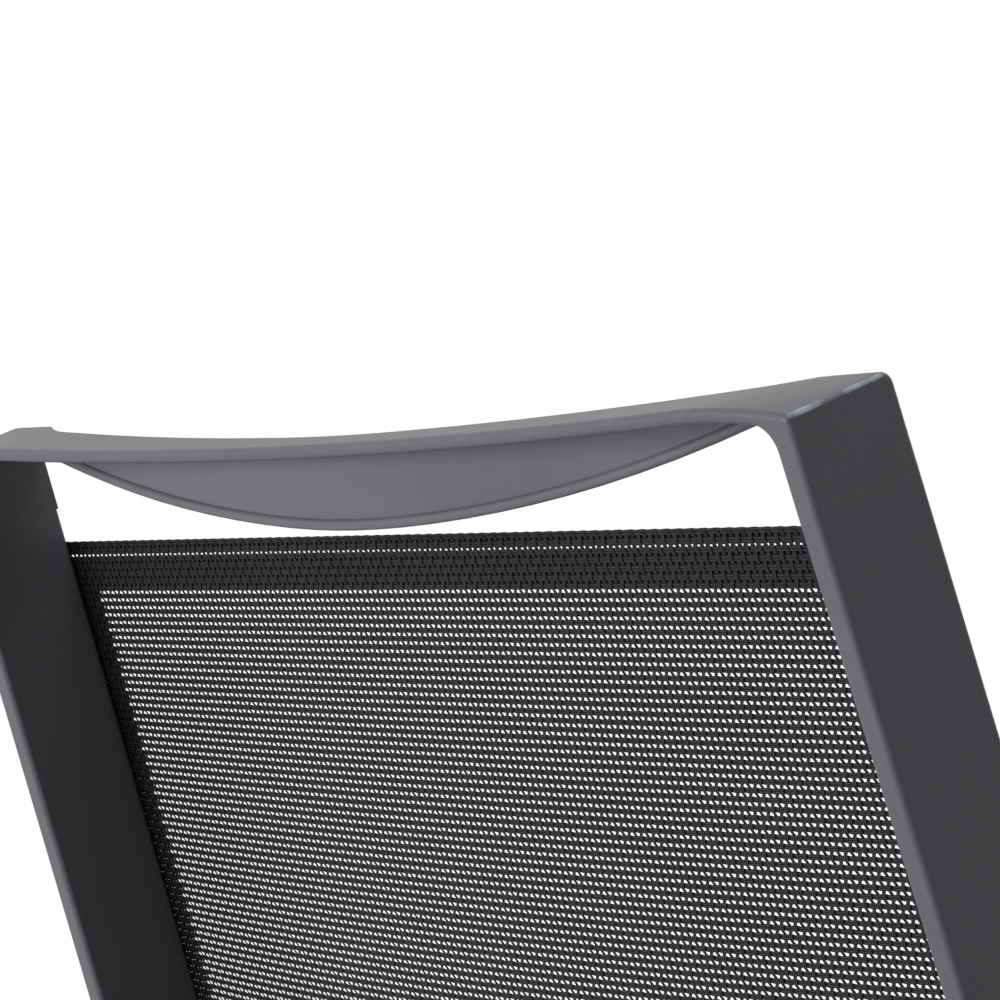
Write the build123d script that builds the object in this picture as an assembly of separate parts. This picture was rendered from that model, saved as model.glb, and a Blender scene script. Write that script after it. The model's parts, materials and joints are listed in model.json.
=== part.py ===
"""Reclining sun lounger with sling fabric on an aluminium frame.

A fixed base frame carries the seat sling. The backrest turns on two bolts
between the side rails and is propped by a link whose rod rides in two notched
racks. Millimetres; +Z is up, +Y points to the head end, the foot end is at -Y,
and the origin lies on the floor under the middle of the base frame.
"Left" is the side at +X, the left hand of somebody lying on the lounger.
"""
from build123d import *
from math import atan2, cos, degrees, radians, sin, sqrt, tan
import os

# --------------------------------------------------------------------------
# Driving dimensions
# --------------------------------------------------------------------------
# Base frame
base_length = 1900.0
base_width = 700.0
seat_height = 330.0
rail_width = 20.0
rail_depth = 50.0
rail_corner = 3.0
rail_wall = 2.0
end_cap_thickness = 2.0
end_cap_plug = 5.5

# Backrest
back_length = 760.0  # hinge axis to the top of the backrest
stile_gap = 1.0  # lower end of a stile to the side rail
back_taper = 2.25  # degrees, each stile
back_rise = 70.2  # degrees above the seat, in the steepest position
stile_width = 11.2
stile_depth = 50.0
stile_corner = 2.5
stile_wall = 1.8
head_clearance = 7.0  # flat backrest to head rail
back_cross_places = [86.0, 262.0]  # cross tubes, from the hinge axis
back_cross_width = 30.0
back_cross_depth = 18.0
back_cross_inset = 4.0  # cross tubes in front of the stiles' rear face

# Crown: the cast top rail of the backrest
crown_leg = 40.0
crown_flange = 5.6
crown_middle_rise = -2.2  # rear edge of the top face, above the end of the backrest
crown_shoulder_rise = 3.2
crown_corner_rise = -0.8
crown_corner_lift = 1.0  # outer corners at the front, above those at the rear
crown_shoulder_inset = 65.0  # from the outer faces to the highest places
crown_slope = 5.7  # degrees, top face falls towards the front between the shoulders
crown_nose_radius = 5.0  # top of the front, seen from the side
crown_inner_radius = 11.0
crown_depth_middle = 18.5
crown_depth_side = 36.5
crown_depth_power = 1.4  # below 2, the front edge is straighter than a parabola away from the middle
crown_side_inset = 50.0  # from the outer face to where the front edge has its side depth
crown_flare_inset = 62.0  # from the outer face to where the front edge turns out to the leg
crown_flare_end = 1.0  # the flare passes the front of the legs by this much
apron_drop = 42.2
apron_tip = 5.0
apron_inset = 28.0  # ends of the apron from the outer faces
apron_thickness = 3.5
apron_setback = 0.4  # front of the apron behind the flange's front edge
bead_height = 4.6
bead_depth = 2.0

# Sling fabric and its splines
fabric = 1.0
groove_radius = 3.2
groove_cover = 2.0  # metal over the groove
groove_slot = 2.4
spline_radius = 2.9
groove_inset = 5.4  # groove centre from the inner face
sling_gap = 0.3
mesh_columns = 8  # openings across a sling; they stand for its open weave
mesh_opening = 30.0
end_hem = 24.0  # cloth without openings at the ends and sides of a sling
side_hem = 13.0
hem_top = 55.6  # top edge of the back sling below the top of the backrest
back_sling_start = 52.0  # lower edge of the back sling from the hinge axis
back_sag = 22.0
seat_sling_foot = 56.0  # foot edge of the seat sling from the foot end
seat_sling_hinge = 34.0  # rear edge of the seat sling from the hinge axis
seat_sag = 14.0

# Hinge
hinge_height = 30.0  # hinge axis above the rear face of the stiles
hinge_bolt_radius = 5.0
hinge_eye_radius = 16.0
bush_wall = 2.0
washer_thickness = 1.5
washer_radius = 11.0
hinge_plug = 42.0
hinge_neck = 6.0  # eye to the lower end of the stile tube
hinge_inset = 3.0  # inner end of the eye inside the stile's inner face
hinge_head_radius = 10.0
hinge_head_height = 4.0

# Prop
rack_head_gap = 62.5  # end of the racks to the head rail
prop_pivot_height = 10.0  # prop pivot above the rear face of the stiles
prop_bolt_radius = 4.0
prop_head_radius = 7.0
prop_head_height = 3.0
spacer_radius = 9.0
arm_width = 24.0
arm_thickness = 6.0
arm_clearance = 1.6  # arm to stile, folded flat
rod_radius = 5.0
sleeve_radius = 7.0
sleeve_length = 7.0
rack_notches = 6
rack_step = 9.0  # degrees of backrest between notches
rack_thickness = 5.0
rack_edge = 10.0  # metal below the notches
rack_end = 16.0
rack_corner = 8.0
rack_top_gap = 7.0
rack_screw_drop = 6.0  # screw row below the rack's top edge
notch_depth = 5.0
notch_hook = 25.0  # degrees, notches lean to the head end

# Cross members of the base
brace_width = 30.0
brace_depth = 20.0
brace_wall = 2.0
brace_corner = 4.0
brace_drop = 30.0  # seat sling plane to the top of a brace
brace_places = [-610.0, -230.0, 110.0]
plug_length = 25.0

# Legs
foot_leg_inset = 215.0  # top of the foot legs from the foot end
head_leg_inset = 295.0
leg_splay = 7.0  # degrees towards the ends
leg_depth = 42.0
leg_wall = 2.0
shoe_thickness = 5.0
shoe_length = 96.0
shoe_plug = 30.0
shoe_screw_inset = 12.0
glide_height = 10.0
glide_rim = 1.5
glide_plug = 18.0
stretcher_height = 118.0

# Fasteners
bolt_radius = 3.0
bolt_head_radius = 6.0
bolt_head_height = 2.6
screw_radius = 2.0
screw_head_radius = 4.0
screw_head_height = 1.8
back_screw_depth = 18.0  # screws of the backrest's cross tubes
screw_grip = 3.0  # screw past the far side of a tube's wall
nut_thickness = 6.0

# Fits
running = 0.05  # radial, on turning pins
fit = 0.15  # plugs in tubes, screws in holes
clear = 0.3  # parts that pass each other

# --------------------------------------------------------------------------
# Derived places
# --------------------------------------------------------------------------
leg_places = [foot_leg_inset - base_length / 2, base_length / 2 - head_leg_inset]
rail_inner_x = base_width / 2 - rail_width
rail_bottom = seat_height - rail_depth
hinge_y = base_length / 2 - rail_width - head_clearance - back_length
hinge_z = seat_height - stile_depth + hinge_height
front_z = stile_depth - hinge_height  # front face of the stiles, hinge axis at 0
groove_depth = groove_cover + groove_radius  # groove centre below the front face

back_pose = Location((0, hinge_y, hinge_z), (back_rise, 0, 0))
stile_start = hinge_eye_radius + hinge_neck  # lower end of the stile tube
stile_end = back_length - crown_leg
back_width = 2 * (rail_inner_x - stile_gap - (back_length - stile_start) * tan(radians(back_taper)))
crown_side = back_width / 2 - crown_side_inset
crown_shoulder = back_width / 2 - crown_shoulder_inset
apron_half_width = back_width / 2 - apron_inset

lane = sleeve_radius + clear  # half-height of the rod's lane in a rack
pivot_offset = prop_pivot_height - hinge_height
pivot_distance = (head_clearance + back_length - rack_head_gap - rack_end - lane) / 2
prop_reach = sqrt(pivot_distance ** 2 - pivot_offset ** 2)  # along the stile
link_slope = degrees(atan2(-pivot_offset, prop_reach))
pivot_place = back_pose * Location((0, prop_reach, pivot_offset))
prop_pose = Location(pivot_place.position, (-back_rise, 0, 0))


def stile_outer_x(y):
    """Outer face of the left stile at a distance y from the hinge axis."""
    return back_width / 2 + (back_length - y) * tan(radians(back_taper))


def stile_inner_x(y):
    return stile_outer_x(y) - stile_width / cos(radians(back_taper))


eye_inner_x = stile_inner_x(0) - hinge_inset
eye_outer_x = rail_inner_x - washer_thickness - clear
arm_outer_x = stile_inner_x(2 * prop_reach + arm_width / 2) - arm_clearance
arm_inner_x = arm_outer_x - arm_thickness


# --------------------------------------------------------------------------
# Helpers
# --------------------------------------------------------------------------
def block(x_range, y_range, z_range):
    """A box between the given limits."""
    (x0, x1), (y0, y1), (z0, z1) = x_range, y_range, z_range
    centre = Location(((x0 + x1) / 2, (y0 + y1) / 2, (z0 + z1) / 2))
    return centre * Box(abs(x1 - x0), abs(y1 - y0), abs(z1 - z0))


def pin_x(radius, x0, x1, y=0.0, z=0.0):
    """A cylinder along X."""
    turned = Location(((x0 + x1) / 2, y, z), (0, 90, 0))
    return turned * Cylinder(radius, abs(x1 - x0))


def ring_x(outer, inner, x0, x1, y=0.0, z=0.0):
    return pin_x(outer, x0, x1, y, z) - pin_x(inner, x0 - 1, x1 + 1, y, z)


def mirrored(shape):
    return mirror(shape, about=Plane.YZ)


def both_sides(shapes):
    """The shapes of the left side, then their mirror images."""
    return list(shapes) + [mirrored(shape) for shape in shapes]


def save(name, shapes):
    """Write one node: a single solid, or a group of separate solids."""
    group = shapes if isinstance(shapes, list) else [shapes]
    solids = [solid for shape in group for solid in shape.solids()]
    export_step(solids[0] if len(solids) == 1 else Compound(children=solids), f"parts/{name}.step")


def save_pair(name, shape):
    """Write the left part and its mirror image."""
    save(f"{name}_left", shape)
    save(f"{name}_right", mirrored(shape))


def tube_profile(width, depth, corner, wall):
    inner_corner = max(corner - wall, 0.4)
    return RectangleRounded(width, depth, corner) - RectangleRounded(
        width - 2 * wall, depth - 2 * wall, inner_corner
    )


def grooved_profile(width, depth, corner, wall):
    """Hollow rail with a spline groove in its top face, the inner face at +x."""
    top = depth / 2
    groove_x = width / 2 - groove_inset
    groove_y = top - groove_depth
    cavity_top = groove_y - groove_radius - wall
    cavity_depth = cavity_top - (wall - top)
    cavity = Pos(0, wall - top + cavity_depth / 2) * RectangleRounded(
        width - 2 * wall, cavity_depth, max(corner - wall, 0.8)
    )
    groove = Pos(groove_x, groove_y) * Circle(groove_radius)
    slot = Pos(groove_x, groove_y + groove_depth / 2) * Rectangle(groove_slot, groove_depth + groove_cover)
    return RectangleRounded(width, depth, corner) - cavity - groove - slot


def bolt_head(x, y, z, radius=bolt_head_radius, height=bolt_head_height):
    """Low domed head that sits on a face at x and points to +X."""
    head = pin_x(radius, x, x + height, y, z)
    rim = head.edges().filter_by(GeomType.CIRCLE).sort_by(Axis.X)[-1]
    socket = Location((x + height, y, z), (0, 90, 0)) * extrude(RegularPolygon(radius * 0.45, 6), -height / 2)
    return fillet(rim, height * 0.6) - socket


# --------------------------------------------------------------------------
# Base frame
# --------------------------------------------------------------------------
def rail_bolt_places():
    """Bolts through the side rails into the cross members, as (y, z)."""
    end_y = base_length / 2 - rail_width / 2
    end_z = [rail_bottom + rail_depth * 0.28, rail_bottom + rail_depth * 0.62]
    ends = [(y, z) for y in (-end_y, end_y) for z in end_z]
    return ends + [(y, brace_z()) for y in brace_places]


def brace_z():
    return seat_height - brace_drop - brace_depth / 2


def side_rail():
    """Left side rail: grooved extrusion with holes for bolts and the hinge."""
    profile = grooved_profile(rail_width, rail_depth, rail_corner, rail_wall)
    section = Plane((base_width / 2 - rail_width / 2, 0, seat_height - rail_depth / 2),
                    x_dir=(-1, 0, 0), z_dir=(0, 1, 0)) * profile
    rail = extrude(section, base_length / 2, both=True)
    for y, z in rail_bolt_places():
        rail -= pin_x(bolt_radius + fit, rail_inner_x - 1, base_width / 2 + 1, y, z)
    rail -= pin_x(hinge_bolt_radius + fit, rail_inner_x - 1, base_width / 2 + 1, hinge_y, hinge_z)
    for y, z in rack_screw_places():
        rail -= pin_x(screw_radius + fit, rail_inner_x - 1, rail_inner_x + rail_wall + 1, y, z)
    for place in leg_places:
        for y in shoe_screw_places(place):
            rail -= upright_pin(screw_radius + fit, base_width / 2 - rail_width / 2, y,
                                rail_bottom - 1, rail_bottom + rail_wall + 1)
    return rail


def upright_pin(radius, x, y, z0, z1):
    return Location((x, y, (z0 + z1) / 2)) * Cylinder(radius, z1 - z0)


def end_cap(end):
    """Plastic cap with a plug, in one end of the left side rail; end is -1 or 1."""
    x = base_width / 2 - rail_width / 2
    outside = end * (base_length / 2 + end_cap_thickness)
    face = end * base_length / 2
    plate = Location((x, (outside + face) / 2, seat_height - rail_depth / 2), (90, 0, 0)) * extrude(
        RectangleRounded(rail_width, rail_depth, rail_corner), end_cap_thickness / 2, both=True
    )
    low = rail_bottom + rail_wall + fit
    high = seat_height - groove_depth - groove_radius - rail_wall - fit
    stub = Location((x, face, (low + high) / 2), (90 * end, 0, 0)) * extrude(
        RectangleRounded(rail_width - 2 * rail_wall - 2 * fit, high - low, rail_corner - rail_wall + 0.2)
        - RectangleRounded(rail_width - 4 * rail_wall, high - low - 2 * rail_wall, 0.8),
        end_cap_plug,
    )
    return plate + stub


def cross_member(y, z, width, depth, corner, reach):
    """Tube across the frame, centred at (y, z); reach is half its length."""
    section = Plane((0, y, z), x_dir=(0, 1, 0), z_dir=(1, 0, 0)) * tube_profile(
        width, depth, corner, brace_wall
    )
    return extrude(section, reach, both=True)


def member_plug(y, z, width, depth, corner, reach, bolt_zs):
    """Solid plug in the left end of a cross member, drilled for its bolts."""
    inner_corner = max(corner - brace_wall, 0.4)
    section = Plane((reach, y, z), x_dir=(0, 1, 0), z_dir=(-1, 0, 0)) * RectangleRounded(
        width - 2 * brace_wall - 2 * fit, depth - 2 * brace_wall - 2 * fit, inner_corner
    )
    plug = extrude(section, plug_length)
    for bolt_z in bolt_zs:
        plug -= pin_x(bolt_radius, reach - plug_length - 1, reach + 1, y, bolt_z)
    return plug


def frame_bolt(y, z):
    """Bolt from the outside of the left side rail into a plug."""
    shank_end = rail_inner_x - plug_length * 0.8
    return bolt_head(base_width / 2, y, z) + pin_x(bolt_radius, shank_end, base_width / 2, y, z)


def leg_axis(place):
    """Direction of a leg, downwards, splayed towards the near end."""
    lean = tan(radians(leg_splay)) * (1 if place > 0 else -1)
    return Vector(0, lean, -1)


def leg_centre_y(place, z):
    """Centre line of a leg at height z; its top is at the given place."""
    drop = rail_bottom - shoe_thickness - z
    return place + leg_axis(place).Y * drop


def slanted(section, place, z_top, z_bottom):
    """The section, level at the leg's top, drawn down along the leg."""
    top = Location((base_width / 2 - rail_width / 2, leg_centre_y(place, z_top), z_top))
    direction = leg_axis(place)
    return extrude(top * section, (z_top - z_bottom) * direction.length, dir=direction)


def leg(place):
    """Left leg: a tube whose ends are cut level."""
    tube = slanted(tube_profile(rail_width, leg_depth, rail_corner, leg_wall), place,
                   rail_bottom - shoe_thickness, glide_height)
    y = leg_centre_y(place, stretcher_height)
    return tube - pin_x(bolt_radius + fit, rail_inner_x - 1, base_width / 2 + 1, y, stretcher_height)


def leg_core(place, z_top, z_bottom):
    inside = RectangleRounded(rail_width - 2 * leg_wall - 2 * fit,
                              leg_depth - 2 * leg_wall - 2 * fit, 1.0)
    return slanted(inside, place, z_top, z_bottom)


def shoe_screw_places(place):
    half = shoe_length / 2 - shoe_screw_inset
    return [place - half, place + half]


def leg_shoe(place):
    """Cast shoe under the side rail, with a stub that fills the leg's top."""
    x = base_width / 2 - rail_width / 2
    top = Location((x, place, rail_bottom))
    flange = extrude(top * RectangleRounded(rail_width, shoe_length, rail_corner), -shoe_thickness)
    for y in shoe_screw_places(place):
        flange -= upright_pin(screw_radius + fit, x, y, rail_bottom - shoe_thickness - 1, rail_bottom + 1)
    stub_top = rail_bottom - shoe_thickness
    return flange + leg_core(place, stub_top, stub_top - shoe_plug)


def shoe_screw(x, y):
    head_top = rail_bottom - shoe_thickness
    head = upright_pin(screw_head_radius, x, y, head_top - screw_head_height, head_top)
    shank = upright_pin(screw_radius, x, y, head_top, rail_bottom + rail_wall + screw_grip)
    rim = head.edges().filter_by(GeomType.CIRCLE).sort_by(Axis.Z)[0]
    return chamfer(rim, screw_head_height * 0.4) + shank


def glide(place):
    """Plastic foot: a rim wider than the leg and a plug inside it."""
    x = base_width / 2 - rail_width / 2
    centre = Location((x, leg_centre_y(place, glide_height), 0))
    outline = RectangleRounded(rail_width + 2 * glide_rim, leg_depth + 2 * glide_rim,
                               rail_corner + glide_rim)
    pad = extrude(centre * outline, glide_height)
    sole = pad.edges().group_by(Axis.Z)[0]
    return chamfer(sole, 1.2) + leg_core(place, glide_height + glide_plug, glide_height)


# --------------------------------------------------------------------------
# Hinge
# --------------------------------------------------------------------------
def hinge_fitting():
    """Casting in the lower end of the left stile, with the hinge eye.

    Drawn in the backrest's own frame: hinge axis at the origin, +Y along the
    backrest, +Z out of its front face.
    """
    eye = pin_x(hinge_eye_radius, eye_inner_x, eye_outer_x)
    neck = block((eye_inner_x, eye_outer_x), (0, stile_start),
                 (-hinge_eye_radius, hinge_eye_radius))
    neck &= stile_prism(0, stile_start, stile_width)
    bore = pin_x(hinge_bolt_radius + running + bush_wall, eye_inner_x - 1, eye_outer_x + 1)
    return eye + neck + stile_plug(stile_start - 0.5, stile_start + hinge_plug) - bore


def stile_frame(y):
    """Plane across the left stile where its centre line passes y; +x inwards."""
    centre_x = stile_outer_x(y) - stile_width / 2 / cos(radians(back_taper))
    taper = radians(back_taper)
    return Plane((centre_x, y, front_z - stile_depth / 2),
                 x_dir=(-cos(taper), -sin(taper), 0), z_dir=(-sin(taper), cos(taper), 0))


def along_stile(section, y0, y1):
    """Extrude a section along the left stile and cut it square at y0 and y1."""
    margin = 10.0
    length = (y1 - y0 + 2 * margin) / cos(radians(back_taper))
    bar = extrude(stile_frame(y0 - margin) * section, length)
    reach = base_width
    return bar & block((-reach, reach), (y0, y1), (-reach, reach))


def stile_prism(y0, y1, width):
    return along_stile(Rectangle(width, stile_depth), y0, y1)


def stile_plug(y0, y1):
    """Stub that fills the stile's cavity between y0 and y1."""
    cavity_top = front_z - groove_depth - groove_radius - stile_wall
    cavity_bottom = front_z - stile_depth + stile_wall
    depth = cavity_top - cavity_bottom - 2 * fit
    centre = (cavity_top + cavity_bottom) / 2 - (front_z - stile_depth / 2)
    section = Pos(0, centre) * RectangleRounded(stile_width - 2 * stile_wall - 2 * fit, depth, 0.7)
    return along_stile(section, y0, y1)


def hinge_bush():
    bore = hinge_bolt_radius + running
    return ring_x(bore + bush_wall, bore, eye_inner_x, eye_outer_x)


def hinge_bolt():
    """Shoulder bolt from the outside of the side rail, in the world frame."""
    shank = pin_x(hinge_bolt_radius, eye_inner_x - nut_thickness - 2, base_width / 2, hinge_y, hinge_z)
    return shank + bolt_head(base_width / 2, hinge_y, hinge_z, hinge_head_radius, hinge_head_height)


def hinge_washers():
    outer = ring_x(washer_radius, hinge_bolt_radius, eye_outer_x + clear, rail_inner_x, hinge_y, hinge_z)
    inner_face = eye_inner_x - clear
    inner = ring_x(washer_radius, hinge_bolt_radius, inner_face - washer_thickness, inner_face,
                   hinge_y, hinge_z)
    return [outer, inner]


def hex_nut(x, y, z, bore, thickness):
    """Nut whose seat is at x, reaching towards the middle."""
    blank = Location((x, y, z), (0, 90, 0)) * extrude(RegularPolygon(bore * 1.85, 6), -thickness)
    return blank - pin_x(bore, x - thickness - 1, x + 1, y, z)


# --------------------------------------------------------------------------
# Backrest, drawn in its own frame and then posed
# --------------------------------------------------------------------------
def stile():
    """Left stile: tapered-in grooved extrusion, cut square at both ends."""
    profile = grooved_profile(stile_width, stile_depth, stile_corner, stile_wall)
    tube = along_stile(profile, stile_start, stile_end)
    z = back_cross_z()
    holes = [(screw_radius, y, z) for y in back_cross_places]
    holes.append((prop_bolt_radius, prop_reach, pivot_offset))
    for radius, y, z in holes:
        tube -= pin_x(radius + fit, stile_inner_x(y) - stile_wall, stile_outer_x(y) + stile_wall, y, z)
    return tube


def back_cross_z():
    return front_z - stile_depth + back_cross_inset + back_cross_depth / 2


def between_stiles(y0, y1, gap=0.0):
    """The wedge between the stiles' inner faces."""
    outline = Polyline(
        (stile_inner_x(y0) - gap, y0), (stile_inner_x(y1) - gap, y1),
        (gap - stile_inner_x(y1), y1), (gap - stile_inner_x(y0), y0), close=True,
    )
    return Pos(0, 0, -base_width / 2) * extrude(make_face(outline), base_width)


def back_cross(y):
    """Cross tube of the backrest, mitred to the stiles' inner faces."""
    tube = cross_member(y, back_cross_z(), back_cross_width, back_cross_depth, brace_corner, base_width / 2)
    return tube & between_stiles(y - back_cross_width, y + back_cross_width)


def back_cross_plug(y):
    plug = member_plug(y, back_cross_z(), back_cross_width, back_cross_depth, brace_corner,
                       stile_inner_x(y) + 1, [])
    plug &= between_stiles(y - back_cross_width, y + back_cross_width)
    screw_end = stile_inner_x(y) - back_screw_depth - clear
    return plug - pin_x(screw_radius, screw_end, base_width / 2, y, back_cross_z())


def back_cross_screw(y):
    """Screw through the left stile into the cross tube's plug."""
    seat_x = stile_outer_x(y - screw_head_radius)
    shank = pin_x(screw_radius, stile_inner_x(y) - back_screw_depth, seat_x, y, back_cross_z())
    return shank + bolt_head(seat_x, y, back_cross_z(), screw_head_radius, screw_head_height)


# ---- Crown: X across, Y up along the backrest, Z from the rear face forwards
crown_place = Location((0, back_length, front_z - stile_depth))


def crown_outer_x(y):
    return back_width / 2 - y * tan(radians(back_taper))


def crown_inner_x(y):
    return crown_outer_x(y) - stile_width / cos(radians(back_taper))


def front_edge(x):
    """Depth of the flange's front edge."""
    span = crown_depth_side - crown_depth_middle
    return crown_depth_middle + span * abs(x / crown_side) ** crown_depth_power


def top_rise(x, depth):
    """Height of the top face: a smile between the shoulders and a droop to each corner."""
    inner, beyond = min(abs(x), crown_shoulder), max(abs(x) - crown_shoulder, 0)
    climb = crown_shoulder_rise - crown_middle_rise
    slope = 2 * climb / crown_shoulder
    fall = depth * tan(radians(crown_slope))
    corner = crown_corner_rise + crown_corner_lift * depth / stile_depth
    droop = crown_shoulder_rise - fall + slope * crown_shoulder_inset - corner
    smile = crown_middle_rise - fall + climb * (inner / crown_shoulder) ** 2
    return smile + slope * beyond - droop * (beyond / crown_shoulder_inset) ** 2


def top_arc(start, end, drop, depth):
    """Arc of the top face between two places, lowered by drop."""
    places = (start, (start + end) / 2, end)
    return ThreePointArc(*[(x, top_rise(x, depth) - drop) for x in places])


def arch_section(depth, place, low, drop):
    """Outline across the crown at a depth, between the leg lines and the top face."""
    half = place(top_rise(place(0), depth) - drop)
    high = top_rise(half, depth) - drop
    face = make_face([
        Line((-place(low), low), (-half, high)),
        top_arc(-half, -crown_shoulder, drop, depth),
        top_arc(-crown_shoulder, crown_shoulder, drop, depth),
        top_arc(crown_shoulder, half, drop, depth),
        Line((half, high), (place(low), low)),
        Line((place(low), low), (-place(low), low)),
    ])
    return Pos(0, 0, depth) * face


def arch_block(place, low, drop, ends):
    """Solid through the sections at both ends of the depth."""
    return loft([arch_section(depth, place, low, drop) for depth in ends], ruled=True)


def arch():
    """Flange over the top and the two legs that continue the stiles."""
    outside = arch_block(crown_outer_x, -crown_leg, 0, (0, stile_depth))
    nose = [e for e in outside.edges().group_by(Axis.Z)[-1] if e.center().Y > -crown_leg / 4]
    inside = arch_block(crown_inner_x, -crown_leg - 1, crown_flange, (-1, stile_depth + 1))
    corners = [e for e in inside.edges().group_by(Axis.Z)[1]
               if abs(e.center().X) > crown_shoulder + 1 and e.center().Y > -crown_leg / 2]
    return fillet(nose, crown_nose_radius) - fillet(corners, crown_inner_radius)


def front_curve(setback, half):
    """Plan line of the flange's front edge, set back towards the rear."""
    places = [half * step / 4 for step in range(-4, 5)]
    return Spline([(x, front_edge(x) - setback) for x in places])


def plan_band(near, far, half):
    """Plan strip between two lines parallel to the front edge."""
    front = front_curve(near, half)
    rear = front_curve(far, half)
    return make_face([
        front, Line(front @ 1, rear @ 1), rear, Line(rear @ 0, front @ 0),
    ])


def upright(plan, low, high):
    """Draw a plan shape, given in X and depth, between two heights."""
    return extrude(Plane((0, low, 0), x_dir=(1, 0, 0), z_dir=(0, 1, 0)) * mirror(plan, about=Plane.XZ),
                   high - low)


def scoop():
    """What is cut from the front of the flange, between the legs."""
    turn, half = back_width / 2 - crown_flare_inset, crown_inner_x(-crown_flange)
    reach = stile_depth + crown_flare_end
    heading = (1, crown_depth_power * (front_edge(turn) - crown_depth_middle) / turn)
    front = front_curve(0, turn)
    flare = Spline([front @ 1, (half, reach)], tangents=[heading, (1, 0)])
    far = reach + crown_nose_radius
    face = make_face([
        front, flare, Line((half, reach), (half, far)), Line((half, far), (-half, far)),
        Line((-half, far), (-half, reach)), mirror(flare, about=Plane.YZ),
    ])
    return upright(face, -crown_leg * 0.7, crown_leg)


def lens(rise):
    """Crescent seen from behind: an arc inside the flange above, a deeper one below."""
    half = apron_half_width
    tip = rise - apron_tip
    end = top_rise(half, 0) - crown_flange / 2
    upper = ThreePointArc((-half, end), (0, crown_middle_rise - crown_flange / 2), (half, end))
    lower = ThreePointArc((half, tip), (0, rise - apron_drop), (-half, tip))
    return make_face([
        upper, Line(upper @ 1, lower @ 0), lower, Line(lower @ 1, upper @ 0),
    ])


def apron():
    """Curved plate under the flange's front edge, with a bead along its rim."""
    reach = apron_half_width + 1
    plate = upright(plan_band(apron_setback, apron_thickness, reach), -apron_drop - 1, 0)
    plate &= extrude(lens(0), stile_depth)
    rim = upright(plan_band(apron_thickness / 2, apron_thickness + bead_depth, reach), -apron_drop - 1, 0)
    rim &= extrude(lens(0) - lens(bead_height), stile_depth)
    return plate + rim


def above_foot(edges):
    """Edges of the crown, without those of the legs' lower ends."""
    return [e for e in edges if e.center().Y > -crown_leg + 0.1]


def rounded(body):
    """The arch with its outer and rear edges rounded like the stiles'."""
    outer = [e for e in above_foot(body.edges())
             if abs(e.center().X) > back_width / 2 - 0.5 and e.center().Z > 1]
    rear_corner = min(stile_corner, 0.45 * crown_flange)
    body = fillet(outer, stile_corner)
    return fillet(above_foot(body.edges().group_by(Axis.Z)[0]), rear_corner)


def crown():
    """Top rail casting: flange, legs, apron and the stubs inside the stiles."""
    body = rounded(arch() - scoop()) + apron()
    stub = stile_plug(stile_end - hinge_plug, stile_end + 0.5)
    return crown_place * body + stub + mirrored(stub)


# ---- Slings: a sheet with an edge strip down into each groove
def sheet_section(plane, edge_x, slot_x, face, sag):
    """Section of a sling: flat over the rails, an arc between them."""
    top = face + sling_gap + fabric
    low = face - groove_depth + spline_radius
    out, inside = slot_x + fabric / 2, slot_x - fabric / 2
    right = Polyline((edge_x, top), (out, top), (out, low), (inside, low), (inside, top - fabric),
                     (edge_x, top - fabric))
    left = Polyline((-edge_x, top - fabric), (-inside, top - fabric), (-inside, low), (-out, low),
                    (-out, top), (-edge_x, top))
    upper = ThreePointArc((-edge_x, top), (0, top - sag), (edge_x, top))
    lower = ThreePointArc((edge_x, top - fabric), (0, top - fabric - sag), (-edge_x, top - fabric))
    return plane * make_face([upper, right, lower, left])


def across(y):
    """Plane across the lounger at y, with +x right and +y up."""
    return Plane((0, y, 0), x_dir=(1, 0, 0), z_dir=(0, -1, 0))


def weave_openings(y0, y1, inner_x, face, sag):
    """Plain grid of upright bars that opens a sling between its hems."""
    pitch = 2 * (inner_x((y0 + y1) / 2) - side_hem) / mesh_columns
    rows = round((y1 - y0 - 2 * end_hem) / pitch)
    bar = Box(mesh_opening, mesh_opening, 4 * (sag + fabric))
    places = []
    for row in range(rows):
        y = y0 + end_hem + (y1 - y0 - 2 * end_hem) * (row + 0.5) / rows
        reach = inner_x(y) - side_hem
        places += [(reach * ((2 * column + 1) / mesh_columns - 1), y) for column in range(mesh_columns)]
    return [Pos(x, y, face) * bar for x, y in places]


def sling(y0, y1, inner_x, face, sag):
    """Sheet between two rails, slack in the middle and flat at both ends."""
    sections = []
    for step in range(5):
        y = y0 + (y1 - y0) * step / 4
        slack = max(sag * sin(radians(45 * step)), fabric / 2)
        sections.append(sheet_section(across(y), inner_x(y), inner_x(y) + groove_inset, face, slack))
    return loft(sections) - weave_openings(y0, y1, inner_x, face, sag)


def back_sling():
    return sling(back_sling_start, back_length - hem_top, stile_inner_x, front_z, back_sag)


def back_spline():
    """Cord in the left stile's groove."""
    section = Pos(stile_width / 2 - groove_inset, stile_depth / 2 - groove_depth) * Circle(spline_radius)
    return along_stile(section, back_sling_start, back_length - hem_top)


def seat_range():
    return -base_length / 2 + seat_sling_foot, hinge_y - seat_sling_hinge


def seat_sling():
    y0, y1 = seat_range()
    return sling(y0, y1, lambda y: rail_inner_x, seat_height, seat_sag)


def seat_spline():
    y0, y1 = seat_range()
    centre = Plane((rail_inner_x + groove_inset, y0, seat_height - groove_depth), z_dir=(0, 1, 0))
    return extrude(centre * Circle(spline_radius), y1 - y0)


# --------------------------------------------------------------------------
# Prop: arms, rod, and the racks that the rod rides in
# --------------------------------------------------------------------------
def prop_bolt():
    """Bolt through the left stile and the arm, in the backrest's frame."""
    seat_x = stile_outer_x(prop_reach - prop_head_radius)
    shank = pin_x(prop_bolt_radius, arm_inner_x - 2 * clear - washer_thickness - nut_thickness,
                  seat_x, prop_reach, pivot_offset)
    return shank + bolt_head(seat_x, prop_reach, pivot_offset, prop_head_radius, prop_head_height)


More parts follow.
